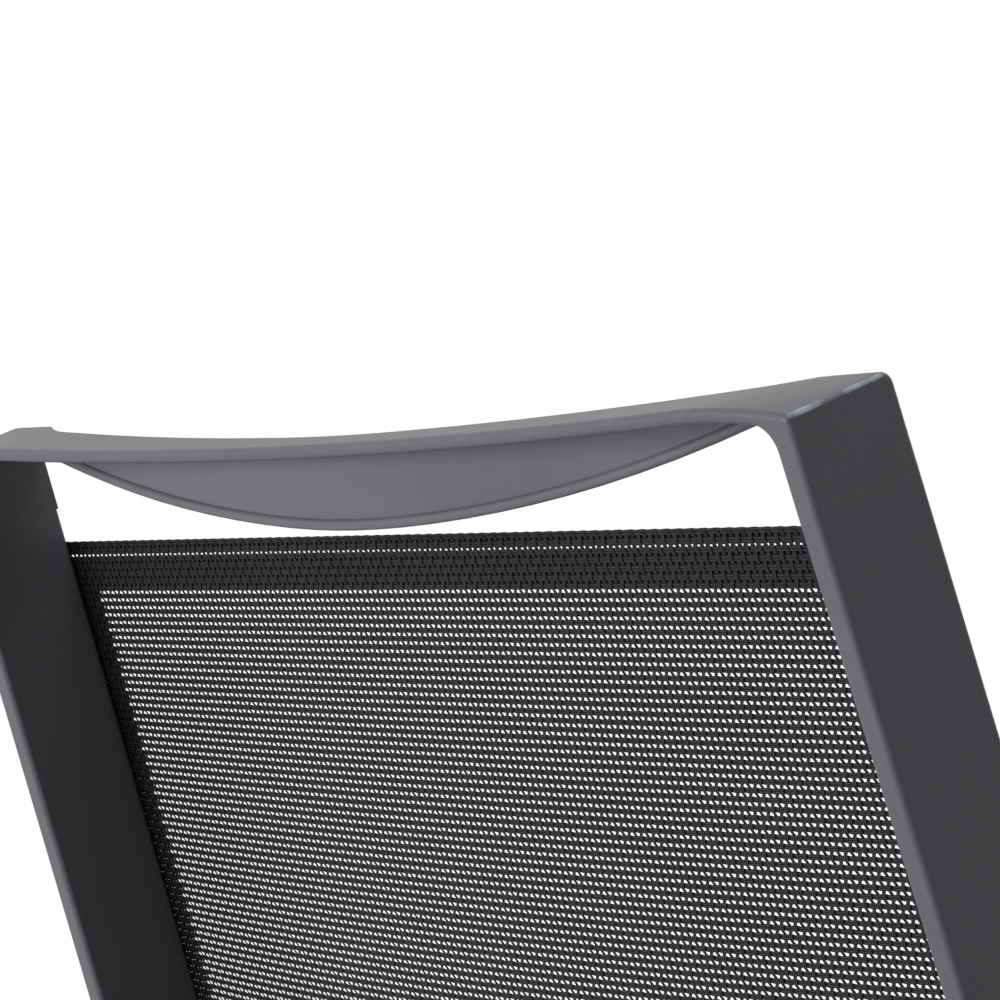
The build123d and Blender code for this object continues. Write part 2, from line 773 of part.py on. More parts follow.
def prop_spacer():
    """Spacer between the stile and the arm, its outer end cut to the taper."""
    spacer = ring_x(spacer_radius, prop_bolt_radius, arm_outer_x + clear,
                    stile_outer_x(prop_reach), prop_reach, pivot_offset)
    return spacer & between_stiles(prop_reach - 2 * spacer_radius, prop_reach + 2 * spacer_radius)


def prop_nuts():
    washer_x = arm_inner_x - clear
    washer = ring_x(prop_head_radius + 1, prop_bolt_radius, washer_x - washer_thickness, washer_x,
                    prop_reach, pivot_offset)
    nut = hex_nut(washer_x - washer_thickness, prop_reach, pivot_offset, prop_bolt_radius, nut_thickness)
    return [washer, nut]


def prop_arm():
    """Flat arm from the pivot at the origin to the rod, as it lies folded."""
    middle = Rot(0, 0, -link_slope) * Pos(pivot_distance / 2, 0)
    blank = middle * SlotCenterToCenter(pivot_distance, arm_width)
    arm = extrude(Plane((arm_inner_x, 0, 0), x_dir=(0, 1, 0), z_dir=(1, 0, 0)) * blank, arm_thickness)
    x0, x1 = arm_inner_x - 1, arm_outer_x + 1
    arm -= pin_x(prop_bolt_radius + running + bush_wall, x0, x1)
    return arm - pin_x(rod_radius, x0, x1, prop_reach, pivot_offset)


def prop_bush():
    bore = prop_bolt_radius + running
    return ring_x(bore + bush_wall, bore, arm_inner_x, arm_outer_x)


def prop_rod():
    half = rail_inner_x - 2 * clear
    return pin_x(rod_radius, -half, half, prop_reach, pivot_offset)


def rod_sleeve():
    end = rail_inner_x - 2 * clear
    return ring_x(sleeve_radius, rod_radius, end - sleeve_length, end, prop_reach, pivot_offset)


def rod_travel(angle):
    """Distance from the hinge axis to the rod when the back rises by angle."""
    return 2 * pivot_distance * cos(radians(angle))


def rack():
    """Left rack plate: a lane for the rod's sleeve with notches below it."""
    near, far = rod_travel(back_rise), rod_travel(0)
    edge = lane + notch_depth + rack_edge
    tilt = Rot(0, 0, -link_slope)
    low = [tilt * Pos(d, -edge) for d in (near - lane - rack_end, far + lane + rack_end)]
    (y0, z0), (y1, z1) = [(spot.position.X, spot.position.Y) for spot in low]
    top = seat_height - rack_top_gap - hinge_z
    outline = make_face(Polyline((y0, z0), (y1, z1), (y1, top), (y0, top), close=True))
    plate = fillet(outline.vertices(), rack_corner)
    plate -= tilt * Pos((near + far) / 2, 0) * SlotCenterToCenter(far - near, 2 * lane)
    for step in range(rack_notches):
        notch = Pos(notch_depth / 2, 0) * SlotCenterToCenter(notch_depth, 2 * lane)
        plate -= tilt * Pos(rod_travel(back_rise - step * rack_step), 0) * Rot(0, 0, notch_hook - 90) * notch
    wall = Plane((rail_inner_x - rack_thickness, hinge_y, hinge_z), x_dir=(0, 1, 0), z_dir=(1, 0, 0))
    solid = extrude(wall * plate, rack_thickness)
    for y, z in rack_screw_places():
        solid -= pin_x(screw_radius + fit, rail_inner_x - rack_thickness - 1, rail_inner_x + 1, y, z)
    return solid


def rack_screw_places():
    """Screws in a row above the lane, as (y, z)."""
    near, far = rod_travel(back_rise), rod_travel(0)
    z = seat_height - rack_top_gap - rack_screw_drop
    return [(hinge_y + near + (far - near) * share, z) for share in (0.02, 0.34, 0.66, 0.98)]


def rack_screw(y, z):
    face = rail_inner_x - rack_thickness
    head = pin_x(screw_head_radius, face - screw_head_height, face, y, z)
    rim = head.edges().filter_by(GeomType.CIRCLE).sort_by(Axis.X)[0]
    shank = pin_x(screw_radius, face, rail_inner_x + rail_wall + screw_grip, y, z)
    return chamfer(rim, screw_head_height * 0.4) + shank


# --------------------------------------------------------------------------
# Write every node
# --------------------------------------------------------------------------
def posed(pose, shapes):
    group = shapes if isinstance(shapes, list) else [shapes]
    return [pose * shape for shape in group]


def save_base():
    save_pair("side_rail", side_rail())
    end_y = base_length / 2 - rail_width / 2
    end_z = seat_height - rail_depth / 2
    for name, y in (("foot_rail", -end_y), ("head_rail", end_y)):
        save(name, cross_member(y, end_z, rail_width, rail_depth, rail_corner, rail_inner_x))
    for name, y in zip(("calf", "thigh", "hip"), brace_places):
        tube = cross_member(y, brace_z(), brace_width, brace_depth, brace_corner, rail_inner_x)
        save(f"{name}_brace", tube)
    plugs = [
        member_plug(y, end_z, rail_width, rail_depth, rail_corner, rail_inner_x,
                    [z for bolt_y, z in rail_bolt_places() if bolt_y == y])
        for y in (-end_y, end_y)
    ]
    plugs += [
        member_plug(y, brace_z(), brace_width, brace_depth, brace_corner, rail_inner_x, [brace_z()])
        for y in brace_places
    ]
    save("frame_plugs", both_sides(plugs))
    save("frame_bolts", both_sides([frame_bolt(y, z) for y, z in rail_bolt_places()]))
    save("end_caps", both_sides([end_cap(-1), end_cap(1)]))
    save("seat_sling", seat_sling())
    save_pair("seat_spline", seat_spline())


def save_legs():
    x = base_width / 2 - rail_width / 2
    bolts, plugs, screws = [], [], []
    for name, place in zip(("foot", "head"), leg_places):
        save_pair(f"{name}_leg", leg(place))
        save_pair(f"{name}_leg_shoe", leg_shoe(place))
        save_pair(f"{name}_glide", glide(place))
        y = leg_centre_y(place, stretcher_height)
        save(f"{name}_stretcher",
             cross_member(y, stretcher_height, brace_width, brace_depth, brace_corner, rail_inner_x))
        plugs.append(member_plug(y, stretcher_height, brace_width, brace_depth, brace_corner, rail_inner_x,
                                 [stretcher_height]))
        bolts.append(frame_bolt(y, stretcher_height))
        screws += [shoe_screw(x, screw_y) for screw_y in shoe_screw_places(place)]
    save("stretcher_plugs", both_sides(plugs))
    save("stretcher_bolts", both_sides(bolts))
    save("shoe_screws", both_sides(screws))


def save_hinges():
    save_pair("hinge_bolt", hinge_bolt())
    save("hinge_washers", both_sides(hinge_washers()))
    nut = hex_nut(eye_inner_x - clear - washer_thickness, hinge_y, hinge_z, hinge_bolt_radius, nut_thickness)
    save("hinge_nuts", both_sides([nut]))
    save_pair("rack", rack())
    save("rack_screws", both_sides([rack_screw(y, z) for y, z in rack_screw_places()]))


def save_backrest():
    for name, shape in (
        ("stile", stile()), ("hinge_fitting", hinge_fitting()), ("back_spline", back_spline()),
        ("prop_bolt", prop_bolt()),
    ):
        save(f"{name}_left", posed(back_pose, shape))
        save(f"{name}_right", posed(back_pose, mirrored(shape)))
    save("hinge_bushes", posed(back_pose, both_sides([hinge_bush()])))
    save("prop_spacers", posed(back_pose, both_sides([prop_spacer()])))
    save("top_rail", posed(back_pose, crown()))
    for name, y in zip(("lower", "middle"), back_cross_places):
        save(f"back_{name}_bar", posed(back_pose, back_cross(y)))
    plugs = both_sides([back_cross_plug(y) for y in back_cross_places])
    save("back_bar_plugs", posed(back_pose, plugs))
    screws = both_sides([back_cross_screw(y) for y in back_cross_places])
    save("back_bar_screws", posed(back_pose, screws))
    save("back_sling", posed(back_pose, back_sling()))
    save("prop_nuts", posed(back_pose, both_sides(prop_nuts())))


def save_prop():
    save("prop_arm_left", posed(prop_pose, prop_arm()))
    save("prop_arm_right", posed(prop_pose, mirrored(prop_arm())))
    save("prop_bushes", posed(prop_pose, both_sides([prop_bush()])))
    save("rod_sleeves", posed(prop_pose, both_sides([rod_sleeve()])))
    save("prop_rod", posed(prop_pose, prop_rod()))


if __name__ == "__main__":
    os.makedirs("parts", exist_ok=True)
    save_base()
    save_legs()
    save_hinges()
    save_backrest()
    save_prop()
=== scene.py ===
# %% [markdown]
# # A reclining sun lounger in sling fabric
#
# The lounger has an aluminium base frame on four splayed legs, and a backrest
# that turns on two bolts and is propped by a link in notched racks. Two panels
# of open woven fabric hang in grooves in the rails. This notebook dresses the
# measured solids: it weaves the two slings yarn by yarn, smooths the top rail
# and the stiles, which are seen close up, gives every part a finish, and sets
# a camera behind the head end. All lengths are in metres.

# %% Load the frame
import bmesh
import bpy
import json
import math
import numpy as np
from mathutils import Matrix, Vector


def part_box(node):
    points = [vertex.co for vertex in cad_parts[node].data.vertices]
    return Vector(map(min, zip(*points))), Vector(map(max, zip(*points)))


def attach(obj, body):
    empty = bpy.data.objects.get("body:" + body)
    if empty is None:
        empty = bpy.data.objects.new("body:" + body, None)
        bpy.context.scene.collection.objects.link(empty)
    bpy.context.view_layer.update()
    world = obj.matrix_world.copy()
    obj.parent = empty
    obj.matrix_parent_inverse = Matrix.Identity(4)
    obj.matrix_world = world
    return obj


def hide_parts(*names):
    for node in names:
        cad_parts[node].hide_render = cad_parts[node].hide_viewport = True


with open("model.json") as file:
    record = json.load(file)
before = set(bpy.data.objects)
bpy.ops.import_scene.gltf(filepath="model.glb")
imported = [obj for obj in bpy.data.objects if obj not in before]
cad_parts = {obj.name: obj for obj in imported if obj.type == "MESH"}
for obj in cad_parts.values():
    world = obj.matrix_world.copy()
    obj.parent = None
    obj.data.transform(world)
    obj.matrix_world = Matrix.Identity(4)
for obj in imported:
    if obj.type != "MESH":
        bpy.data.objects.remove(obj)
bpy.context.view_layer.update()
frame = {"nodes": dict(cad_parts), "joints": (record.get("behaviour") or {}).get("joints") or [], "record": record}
nodes = frame["nodes"]
hinge = next(j for j in frame["joints"] if j["name"] == "backrest_hinge")
back_rise = math.radians(-hinge["range_deg"][0])
print("nodes:", len(nodes), "backrest rises", round(math.degrees(back_rise), 1), "degrees")

# %% [markdown]
# ## The backrest's own axes
#
# The backrest leans, so its parts are easiest to describe as if it lay flat:
# X across, Y up along the stiles from the hinge, Z out of the front face. One
# matrix turns those axes into the world. The real parts are measured in the
# same axes, so that every new piece takes its place from the solids.

# %% Axes and measured places
back_axes = Matrix.Translation(hinge["pos_m"]) @ Matrix.Rotation(back_rise, 4, "X")


def local_points(node, axes):
    """The vertices of a solid, in the given axes, as an array."""
    turn = np.array(axes.inverted())
    points = np.array([v.co for v in nodes[node].data.vertices])
    return points @ turn[:3, :3].T + turn[:3, 3]


stile = local_points("stile_left", back_axes)
rail = local_points("top_rail", back_axes)
front_face = stile[:, 2].max()
rear_face = stile[:, 2].min()
crown_top = rail[:, 1].max()
print("stile from", stile.min(0).round(4), "to", stile.max(0).round(4))

# %% [markdown]
# ## Camera
#
# The view is from behind the head end, a little below the top rail, through a
# long lens, so that the rail sweeps across the picture and the two stiles run
# down its sides. A constraint could keep the camera on a target, but a plain
# direction, turned into a rotation once, is easier to read and to move. The
# camera's place is given in the backrest's own axes.

# %% Camera
camera_place = Vector((-1.42455, 1.01557, -0.92401))
view_direction = Vector((0.81125, -0.58425, 0.02312))
lens_mm = 156.4
sensor_mm = 36.0

camera = bpy.data.objects.new("camera", bpy.data.cameras.new("camera"))
camera.data.lens = lens_mm
camera.data.sensor_width = sensor_mm
camera.data.clip_start = 0.05
camera.data.clip_end = 100.0
camera.location = back_axes @ camera_place
camera.rotation_mode = "QUATERNION"
camera.rotation_quaternion = view_direction.to_track_quat("-Z", "Y")
bpy.context.scene.collection.objects.link(camera)
bpy.context.scene.camera = camera
print("camera at", [round(c, 3) for c in camera.location])

# %% [markdown]
# ## Wiring shader nodes
#
# A finish is a tree of shader nodes. It could be drawn by hand in the shader
# editor, but then nobody could read it here. These helpers add nodes and wire
# them up in one step: a socket takes a plain value, or the output of another
# node, so that a finish reads as one short recipe.

# %% Node helpers
def node_tree(owner):
    """The emptied node tree of a material or a world."""
    owner.use_nodes = True
    owner.node_tree.nodes.clear()
    return owner.node_tree


def feed(tree, socket, value):
    """Link a socket to another node's output, or give it a plain value."""
    if isinstance(value, bpy.types.NodeSocket):
        tree.links.new(value, socket)
    else:
        socket.default_value = value


def feed_named(tree, node, **sockets):
    """Feed sockets by their names, with an underscore for each space."""
    for name, value in sockets.items():
        feed(tree, node.inputs[name.replace("_", " ")], value)


def add(tree, kind, **sockets):
    """A new node with its named sockets fed."""
    node = tree.nodes.new(kind)
    feed_named(tree, node, **sockets)
    return node


def math_node(tree, operation, *values):
    """The result of a Math node for one value or two."""
    node = tree.nodes.new("ShaderNodeMath")
    node.operation = operation
    for socket, value in zip(node.inputs, values):
        feed(tree, socket, value)
    return node.outputs[0]


def mix_shaders(tree, share, first, second):
    """The first shader where the share is 0 and the second where it is 1."""
    node = tree.nodes.new("ShaderNodeMixShader")
    for socket, value in zip(node.inputs, (share, first.outputs[0], second.outputs[0])):
        feed(tree, socket, value)
    return node.outputs[0]


def new_finish(name, roughness, specular=0.5, metallic=0.0):
    """A material with a principled shader, and its Object coordinates."""
    material = bpy.data.materials.new(name)
    tree = node_tree(material)
    shader = add(tree, "ShaderNodeBsdfPrincipled", Roughness=roughness, Metallic=metallic,
                 Specular_IOR_Level=specular)
    add(tree, "ShaderNodeOutputMaterial", Surface=shader.outputs[0])
    place = tree.nodes.new("ShaderNodeTexCoord").outputs["Object"]
    return material, tree, shader, place


print("node helpers ready")

# %% [markdown]
# ## World
#
# The backdrop is plain white, but a white world would also light the lounger
# from all sides and flatten it. So the world asks what kind of ray meets it.
# It is white to the camera and in mirrored and refracted rays, and only a dim
# light to all others. The Standard view transform keeps that white white, which
# the default one would turn to grey.

# %% World
world_light = 0.15
white = (1, 1, 1, 1)


def sight_rays(tree):
    """1 for rays from the camera and for mirrored and refracted ones, else 0."""
    path = tree.nodes.new("ShaderNodeLightPath")
    seen = path.outputs["Is Camera Ray"]
    for ray in ("Is Glossy Ray", "Is Transmission Ray"):
        seen = math_node(tree, "MAXIMUM", seen, path.outputs[ray])
    return seen


world = bpy.data.worlds.new("studio")
world_tree = node_tree(world)
dim = add(world_tree, "ShaderNodeBackground", Color=white, Strength=world_light)
backdrop = add(world_tree, "ShaderNodeBackground", Color=white, Strength=1.0)
add(world_tree, "ShaderNodeOutputWorld",
    Surface=mix_shaders(world_tree, sight_rays(world_tree), dim, backdrop))
bpy.context.scene.world = world
bpy.context.scene.view_settings.view_transform = "Standard"
print("world lights with", world_light, "of plain white")

# %% [markdown]
# ## Floor
#
# The lounger needs a floor for its shadow, but the floor has to vanish into the
# white backdrop. A shadow catcher would leave the picture transparent. Here a
# pale disc is mixed with plain white light, partly in the middle and fully
# farther out, so that the shadow stays and the disc's edge does not show.

# %% Floor
floor_reach = 8.0
fade_start, fade_end = 1.2, 3.4
middle_fade = 0.4
floor_colour = (0.82, 0.82, 0.82, 1)


def floor_paint(name):
    """Pale paint in the middle, fading to plain white for the rays that see it."""
    material, tree, paint, place = new_finish(name, roughness=0.9, specular=0.1)
    paint.inputs["Base Color"].default_value = floor_colour
    distance = add(tree, "ShaderNodeVectorMath", Vector=place)
    distance.operation = "LENGTH"
    fade = add(tree, "ShaderNodeMapRange", Value=distance.outputs["Value"], From_Min=fade_start,
               From_Max=fade_end, To_Min=middle_fade, To_Max=1.0)
    fade.interpolation_type = "SMOOTHSTEP"
    share = math_node(tree, "MULTIPLY", fade.outputs[0], sight_rays(tree))
    plain = add(tree, "ShaderNodeEmission", Color=white, Strength=1.0)
    output = next(node for node in tree.nodes if node.type == "OUTPUT_MATERIAL")
    tree.links.new(mix_shaders(tree, share, paint, plain), output.inputs[0])
    return material


bm = bmesh.new()
bmesh.ops.create_circle(bm, cap_ends=True, segments=96, radius=floor_reach)
floor_mesh = bpy.data.meshes.new("floor")
bm.to_mesh(floor_mesh)
bm.free()
floor_mesh.materials.append(floor_paint("pale_floor"))
floor = bpy.data.objects.new("floor", floor_mesh)
bpy.context.scene.collection.objects.link(floor)
print("floor fades from", fade_start, "to", fade_end, "m")

# %% [markdown]
# ## Lamps
#
# One large soft lamp behind the head end lights the rear of the rail, as a
# window would. A second one from above gives the top edges their lighter tone.
# Area lamps are chosen because their broad highlights show how a face bends,
# which a sun lamp with its hard light does not.

# %% Lamps
def soft_lamp(name, place, target, size, watts):
    """A square area lamp that looks at a target."""
    lamp = bpy.data.objects.new(name, bpy.data.lights.new(name, "AREA"))
    lamp.data.shape = "SQUARE"
    lamp.data.size = size
    lamp.data.energy = watts
    lamp.location = place
    lamp.rotation_mode = "QUATERNION"
    lamp.rotation_quaternion = (Vector(target) - Vector(place)).to_track_quat("-Z", "Y")
    bpy.context.scene.collection.objects.link(lamp)
    print(name, "gives", watts, "W from", place)


rail_middle = back_axes @ Vector((0, crown_top, rear_face))
soft_lamp("rear_softbox", (1.1, 3.9, 0.95), rail_middle, size=1.7, watts=175)
soft_lamp("overhead_softbox", (-0.9, 0.6, 3.8), (0, 0.1, 0.3), size=2.2, watts=56)

# %% [markdown]
# ## Patterns for the finishes
#
# No real surface is one flat colour. All the finishes below drift a little in
# tone and carry a fine relief, both made from noise. Pictures wrapped round the
# parts could do that too, but noise in Object coordinates needs no unwrapping,
# has no seams, and stays in place when the backrest moves.

# %% Pattern helpers
def noise(tree, place, scale, detail=2.0, roughness=0.5):
    """Noise from 0 to 1, with about as many cells to the metre as its scale."""
    node = add(tree, "ShaderNodeTexNoise", Vector=place, Scale=scale, Detail=detail, Roughness=roughness)
    return node.outputs["Fac"]


def ramp(tree, factor, *stops):
    """Colour ramp with stops given as (position, colour)."""
    node = add(tree, "ShaderNodeValToRGB", Fac=factor)
    for element, (position, colour) in zip(node.color_ramp.elements, stops):
        element.position = position
        element.color = (*colour, 1)
    return node.outputs["Color"]


def grey_ramp(tree, factor, *stops):
    """The same in greys, with stops given as (position, brightness)."""
    return ramp(tree, factor, *((position, (value,) * 3) for position, value in stops))


def clouded(tree, factor, colour, dark, light):
    """A colour that drifts between a darker and a lighter shade of itself."""
    shades = [tuple(c * share for c in colour) for share in (dark, light)]
    return ramp(tree, factor, (0.3, shades[0]), (0.7, shades[1]))


def spread(tree, factor, low, high):
    """A factor from 0 to 1, spread between two values."""
    return add(tree, "ShaderNodeMapRange", Value=factor, To_Min=low, To_Max=high).outputs[0]


def mix_colours(tree, blend, share, first, second):
    """The second colour blended over the first, through the node's colour sockets."""
    node = tree.nodes.new("ShaderNodeMix")
    node.data_type = "RGBA"
    node.blend_type = blend
    for index, value in ((0, share), (6, first), (7, second)):
        feed(tree, node.inputs[index], value)
    return node.outputs[2]


def bump(tree, height, depth, normal=None):
    """Bump of a given depth in metres, on top of another one if there is one."""
    node = add(tree, "ShaderNodeBump", Height=height, Distance=depth, Strength=1.0)
    if normal is not None:
        tree.links.new(normal, node.inputs["Normal"])
    return node.outputs["Normal"]


print("pattern helpers ready")

# %% [markdown]
# ## Powder coat
#
# The frame is powder coated. Powder melts into a skin that is satin rather than
# glossy, with a faint orange-peel swell and fine specks. Both are far too small
# to model, so they are two bumps, one on top of the other. The specks darken
# and lighten the colour a little as well.

# %% Powder coat
coat_roughness = 0.42
roughness_drift = 0.05
swell_depth = 0.00004
speck_depth = 0.00001
# lighter colour painted along the crown's upper edges: a painted highlight, partly wear
highlight_and_wear_colour = (0.36, 0.38, 0.42, 1)


def powder_coat(name, colour, highlight_and_wear=None):
    """Powder coat; the optional mask function gives the places painted lighter, as a painted highlight and partly
    wear.
    """
    material, tree, shader, place = new_finish(name, coat_roughness, specular=0.2)
    cloud = noise(tree, place, scale=9.0, detail=3.0)
    specks = noise(tree, place, scale=2600.0, roughness=0.7)
    swell = noise(tree, place, scale=420.0)
    tone = clouded(tree, cloud, colour, 0.93, 1.07)
    tone = mix_colours(tree, "MULTIPLY", 1.0, tone, grey_ramp(tree, specks, (0.35, 0.86), (0.68, 1.16)))
    if highlight_and_wear is not None:
        # painted highlight, partly wear: the lighter colour is mixed in along the mask
        tone = mix_colours(tree, "MIX", highlight_and_wear(tree, place), tone, highlight_and_wear_colour)
    gloss = spread(tree, cloud, coat_roughness - roughness_drift, coat_roughness + roughness_drift)
    relief = bump(tree, specks, speck_depth, bump(tree, swell, swell_depth))
    feed_named(tree, shader, Base_Color=tone, Roughness=gloss, Normal=relief)
    return material


frame_coat = powder_coat("frame_coat", (0.076, 0.079, 0.087))
plate_coat = powder_coat("plate_coat", (0.074, 0.078, 0.086))
print("coated finishes:", frame_coat.name, plate_coat.name)

# %% [markdown]
# ## Painted highlight and wear on the casting's edges
#
# A coat wears lighter along edges that hands and walls rub, and a crisp edge
# catches a narrow highlight. Here both are painted as one lighter line along the
# two outer upper edges of the top rail: a painted highlight, partly wear. It
# could be painted on by hand, but a mask worked out from the place needs no
# unwrapping. In the backrest's own axes the corner of the rail is where X and Y
# add up to the most, so the mask is a narrow line under that crest, broken up by noise.

# %% Casting coat
crest_depths = (rear_face + 0.008, front_face - 0.012)
crest_slice = 0.01
highlight_and_wear_start, highlight_and_wear_full = 0.0006, 0.0002  # depth under the crest


def crest_line():
    """Two (depth, reach) points on the crest; reach is the sum of X and Y."""
    ends = []
    for depth in crest_depths:
        near = rail[np.abs(rail[:, 2] - depth) < crest_slice]
        ends.append((depth, float((near[:, 0] + near[:, 1]).max())))
    return ends


def crown_highlight_and_wear(tree, place):
    """A mask for the painted highlight and wear along the crown's two outer upper edges, broken up by noise."""
    to_back = back_axes.inverted()
    turned = add(tree, "ShaderNodeMapping", Vector=place, Location=to_back.translation,
                 Rotation=tuple(to_back.to_euler()))
    across, along, depth = add(tree, "ShaderNodeSeparateXYZ", Vector=turned.outputs[0]).outputs
    reach = math_node(tree, "ADD", math_node(tree, "ABSOLUTE", across), along)
    (rear, rear_reach), (front, front_reach) = crest_line()
    crest = add(tree, "ShaderNodeMapRange", Value=depth, From_Min=rear, From_Max=front,
                To_Min=rear_reach, To_Max=front_reach)
    crest.clamp = False
    below = math_node(tree, "SUBTRACT", crest.outputs[0], reach)
    line = add(tree, "ShaderNodeMapRange", Value=below, From_Min=highlight_and_wear_start, From_Max=highlight_and_wear_full)
    broken_up = grey_ramp(tree, noise(tree, place, scale=70.0, detail=3.0), (0.42, 0.25), (0.6, 1.0))
    return math_node(tree, "MULTIPLY", line.outputs[0], broken_up)


casting_coat = powder_coat("casting_coat", (0.08, 0.083, 0.091), crown_highlight_and_wear)
print("crest reaches", [round(reach, 4) for _, reach in crest_line()])

# %% [markdown]
# ## Plain finishes
#
# The small parts carry plainer finishes: stainless bolts with a faint brushed
# grain, moulded plastic with a fine matte texture, and bare metal inside the
# joints. Brushed grain is noise drawn out along one axis. Each finish still
# varies a little over its surface, as real ones do.

# %% Plain finishes
leather_depth = 0.00003
brushed_depth = 0.00001


def moulded(name, colour, roughness):
    """Moulded plastic: an even tone with a fine leathery grain."""
    material, tree, shader, place = new_finish(name, roughness, specular=0.4)
    tone = clouded(tree, noise(tree, place, scale=30.0, detail=3.0), colour, 0.88, 1.12)
    grain = noise(tree, place, scale=1500.0, detail=3.0)
    feed_named(tree, shader, Base_Color=tone, Normal=bump(tree, grain, leather_depth))
    return material


def bright_metal(name, colour, roughness, stretch):
    """Metal with a brushed grain drawn out along X, and faint staining."""
    material, tree, shader, place = new_finish(name, roughness, metallic=1.0)
    drawn = add(tree, "ShaderNodeMapping", Vector=place, Scale=(1.0 / stretch, 1.0, 1.0))
    grain = noise(tree, drawn.outputs[0], scale=1800.0)
    tone = clouded(tree, noise(tree, place, scale=45.0, detail=3.0), colour, 0.85, 1.0)
    gloss = spread(tree, grain, roughness - 0.08, roughness + 0.12)
    feed_named(tree, shader, Base_Color=tone, Roughness=gloss, Normal=bump(tree, grain, brushed_depth))
    return material


black_plastic = moulded("black_plastic", (0.022, 0.022, 0.024), 0.55)
bush_plastic = moulded("bush_plastic", (0.06, 0.06, 0.062), 0.4)
spline_cord = moulded("spline_cord", (0.03, 0.03, 0.032), 0.5)
bolt_steel = bright_metal("bolt_steel", (0.6, 0.6, 0.59), 0.3, stretch=25.0)
bare_aluminium = bright_metal("bare_aluminium", (0.68, 0.69, 0.7), 0.42, stretch=12.0)
print("plain finishes:", *(m.name for m in (black_plastic, bush_plastic, spline_cord,
                                            bolt_steel, bare_aluminium)))

# %% [markdown]
# ## Every solid gets its finish
#
# A carried-over solid keeps its shape and takes the finish of its material
# slot. The record says which slot each solid belongs to. The slings are the
# only solids left out, because woven panels take their place.

# %% Finish by slot
finish_of_slot = {
    "frame_coat": frame_coat,
    "casting_coat": casting_coat,
    "plate_coat": plate_coat,
    "spline_cord": spline_cord,
    "black_plastic": black_plastic,
    "bush_plastic": bush_plastic,
    "bolt_steel": bolt_steel,
    "bare_aluminium": bare_aluminium,
}
slot_of_node = {row["node"]: row["material_slot"] for row in frame["record"]["subparts"]}
for name, solid in nodes.items():
    finish = finish_of_slot.get(slot_of_node[name])
    if finish is not None:
        solid.data.materials.clear()
        solid.data.materials.append(finish)
print("finished solids:", sum(slot_of_node[n] in finish_of_slot for n in nodes))

# %% [markdown]
# ## Merged copies of the parts seen close up
#
# A solid comes over as loose triangles, which shade as flat facets. The top rail
# and the stiles are seen from so near that their rounded edges and swept faces
# have to shade smoothly. Each is copied, its triangles are merged, and weighted
# normals carry the light round it, up to the edges that stay sharp. A bevel on
# every edge would show seams between the parts, so the outline stays as it is.
# The copy replaces the solid in the picture only.

# %% Merged copies
same_place = 1e-6
sharp_angle = math.radians(28)


def new_piece(name, bm, body, finish):
    """Turn a bmesh into an object that rides on a body."""
    mesh = bpy.data.meshes.new(name)
    bm.to_mesh(mesh)
    bm.free()
    mesh.shade_smooth()
    mesh.materials.append(finish)
    piece = bpy.data.objects.new(name, mesh)
    bpy.context.scene.collection.objects.link(piece)
    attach(piece, body)
    return piece


def merged_copy(node, body, flat_degrees, shape=None):
    """A merged copy, smooth up to its sharp edges, that replaces a solid."""
    bm = bmesh.new()
    bm.from_mesh(nodes[node].data)
    bmesh.ops.remove_doubles(bm, verts=bm.verts, dist=same_place)
    bmesh.ops.dissolve_limit(bm, angle_limit=math.radians(flat_degrees), verts=bm.verts, edges=bm.edges)
    if shape is not None:
        shape(bm)
    for edge in bm.edges:
        edge.smooth = edge.calc_face_angle(0) < sharp_angle
    slot = slot_of_node[node]
    piece = new_piece(node + "_dressed", bm, body, finish_of_slot[slot])
    piece.modifiers.new("shading", "WEIGHTED_NORMAL").keep_sharp = True
    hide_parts(node)
    print(piece.name, "faces", len(piece.data.polygons))


print("edges stay sharp from", round(math.degrees(sharp_angle)), "degrees")

# %% [markdown]
# ## The bead under the top rail
#
# A thin curved apron hangs under the top rail as a grip, with a bead along its
# rim. The bead is square in the solid and half round on the real casting. To
# shape it, its course has to be known. The rim's lower edge is fitted with a
# curve, because its points lie close to one. The rear face bends too freely for
# that, so the points along the bead's rear edge are joined up instead.

# %% Measure the bead
apron_reach = 0.262  # half the width that the bead runs over
edge_tolerance = 0.0005
section_gap = 0.0015  # points nearer than this in X stand on the same section


def along_rim(points):
    """The lowest point in each of 24 strips across the apron."""
    strips = np.linspace(-apron_reach, apron_reach, 25)
    found = []
    for start, end in zip(strips[:-1], strips[1:]):
        strip = points[(points[:, 0] >= start) & (points[:, 0] < end)]
        if len(strip):
            found.append(min(strip, key=lambda p: p[1]))
    return np.array(found)


def rearmost_nearby(points, place):
    """The least Z of the points that stand on the same section as a place."""
    return points[np.abs(points[:, 0] - place[0]) < section_gap, 2].min()


lowest = along_rim(rail)
rim_line = np.polyfit(lowest[:, 0], lowest[:, 1], 4)
under = rail[np.abs(rail[:, 0]) < apron_reach]
under = under[under[:, 1] < np.polyval(rim_line, under[:, 0]) + edge_tolerance]
rear_edge = np.array(sorted(tuple(p) for p in under if p[2] < rearmost_nearby(under, p) + edge_tolerance))


def above_rim(place):
    """How far a place lies above the rim's lower edge."""
    return place.y - np.polyval(rim_line, place.x)


def past_rear(place):
    """How far a place stands in front of the bead's rear face."""
    return place.z - np.interp(place.x, rear_edge[:, 0], rear_edge[:, 2])


print("points on the rim:", len(lowest), "and on its rear edge:", len(rear_edge))

# %% [markdown]
# The bead could be swept along the rim as a new tube, but a tube would leave a
# seam against the plate. So the square one is reshaped. Its outer edges are
# rolled with a bevel, and then the upper part of its rear face is drawn in
# along a quarter of an ellipse. Towards both ends the drawing fades out.

# %% Shape the bead
bead_height = 0.0046
bead_depth = 0.002
bead_roll = 0.0017
height_tolerance = 0.0006
square_corner = 0.7  # radians
highest_share = 1.05  # of the bead's height, a little past its top
face_error = 0.0004  # how far behind the rear face a point may lie
plate_gap = 0.0001  # points this near to the plate stay where they are
fade_length = 0.02


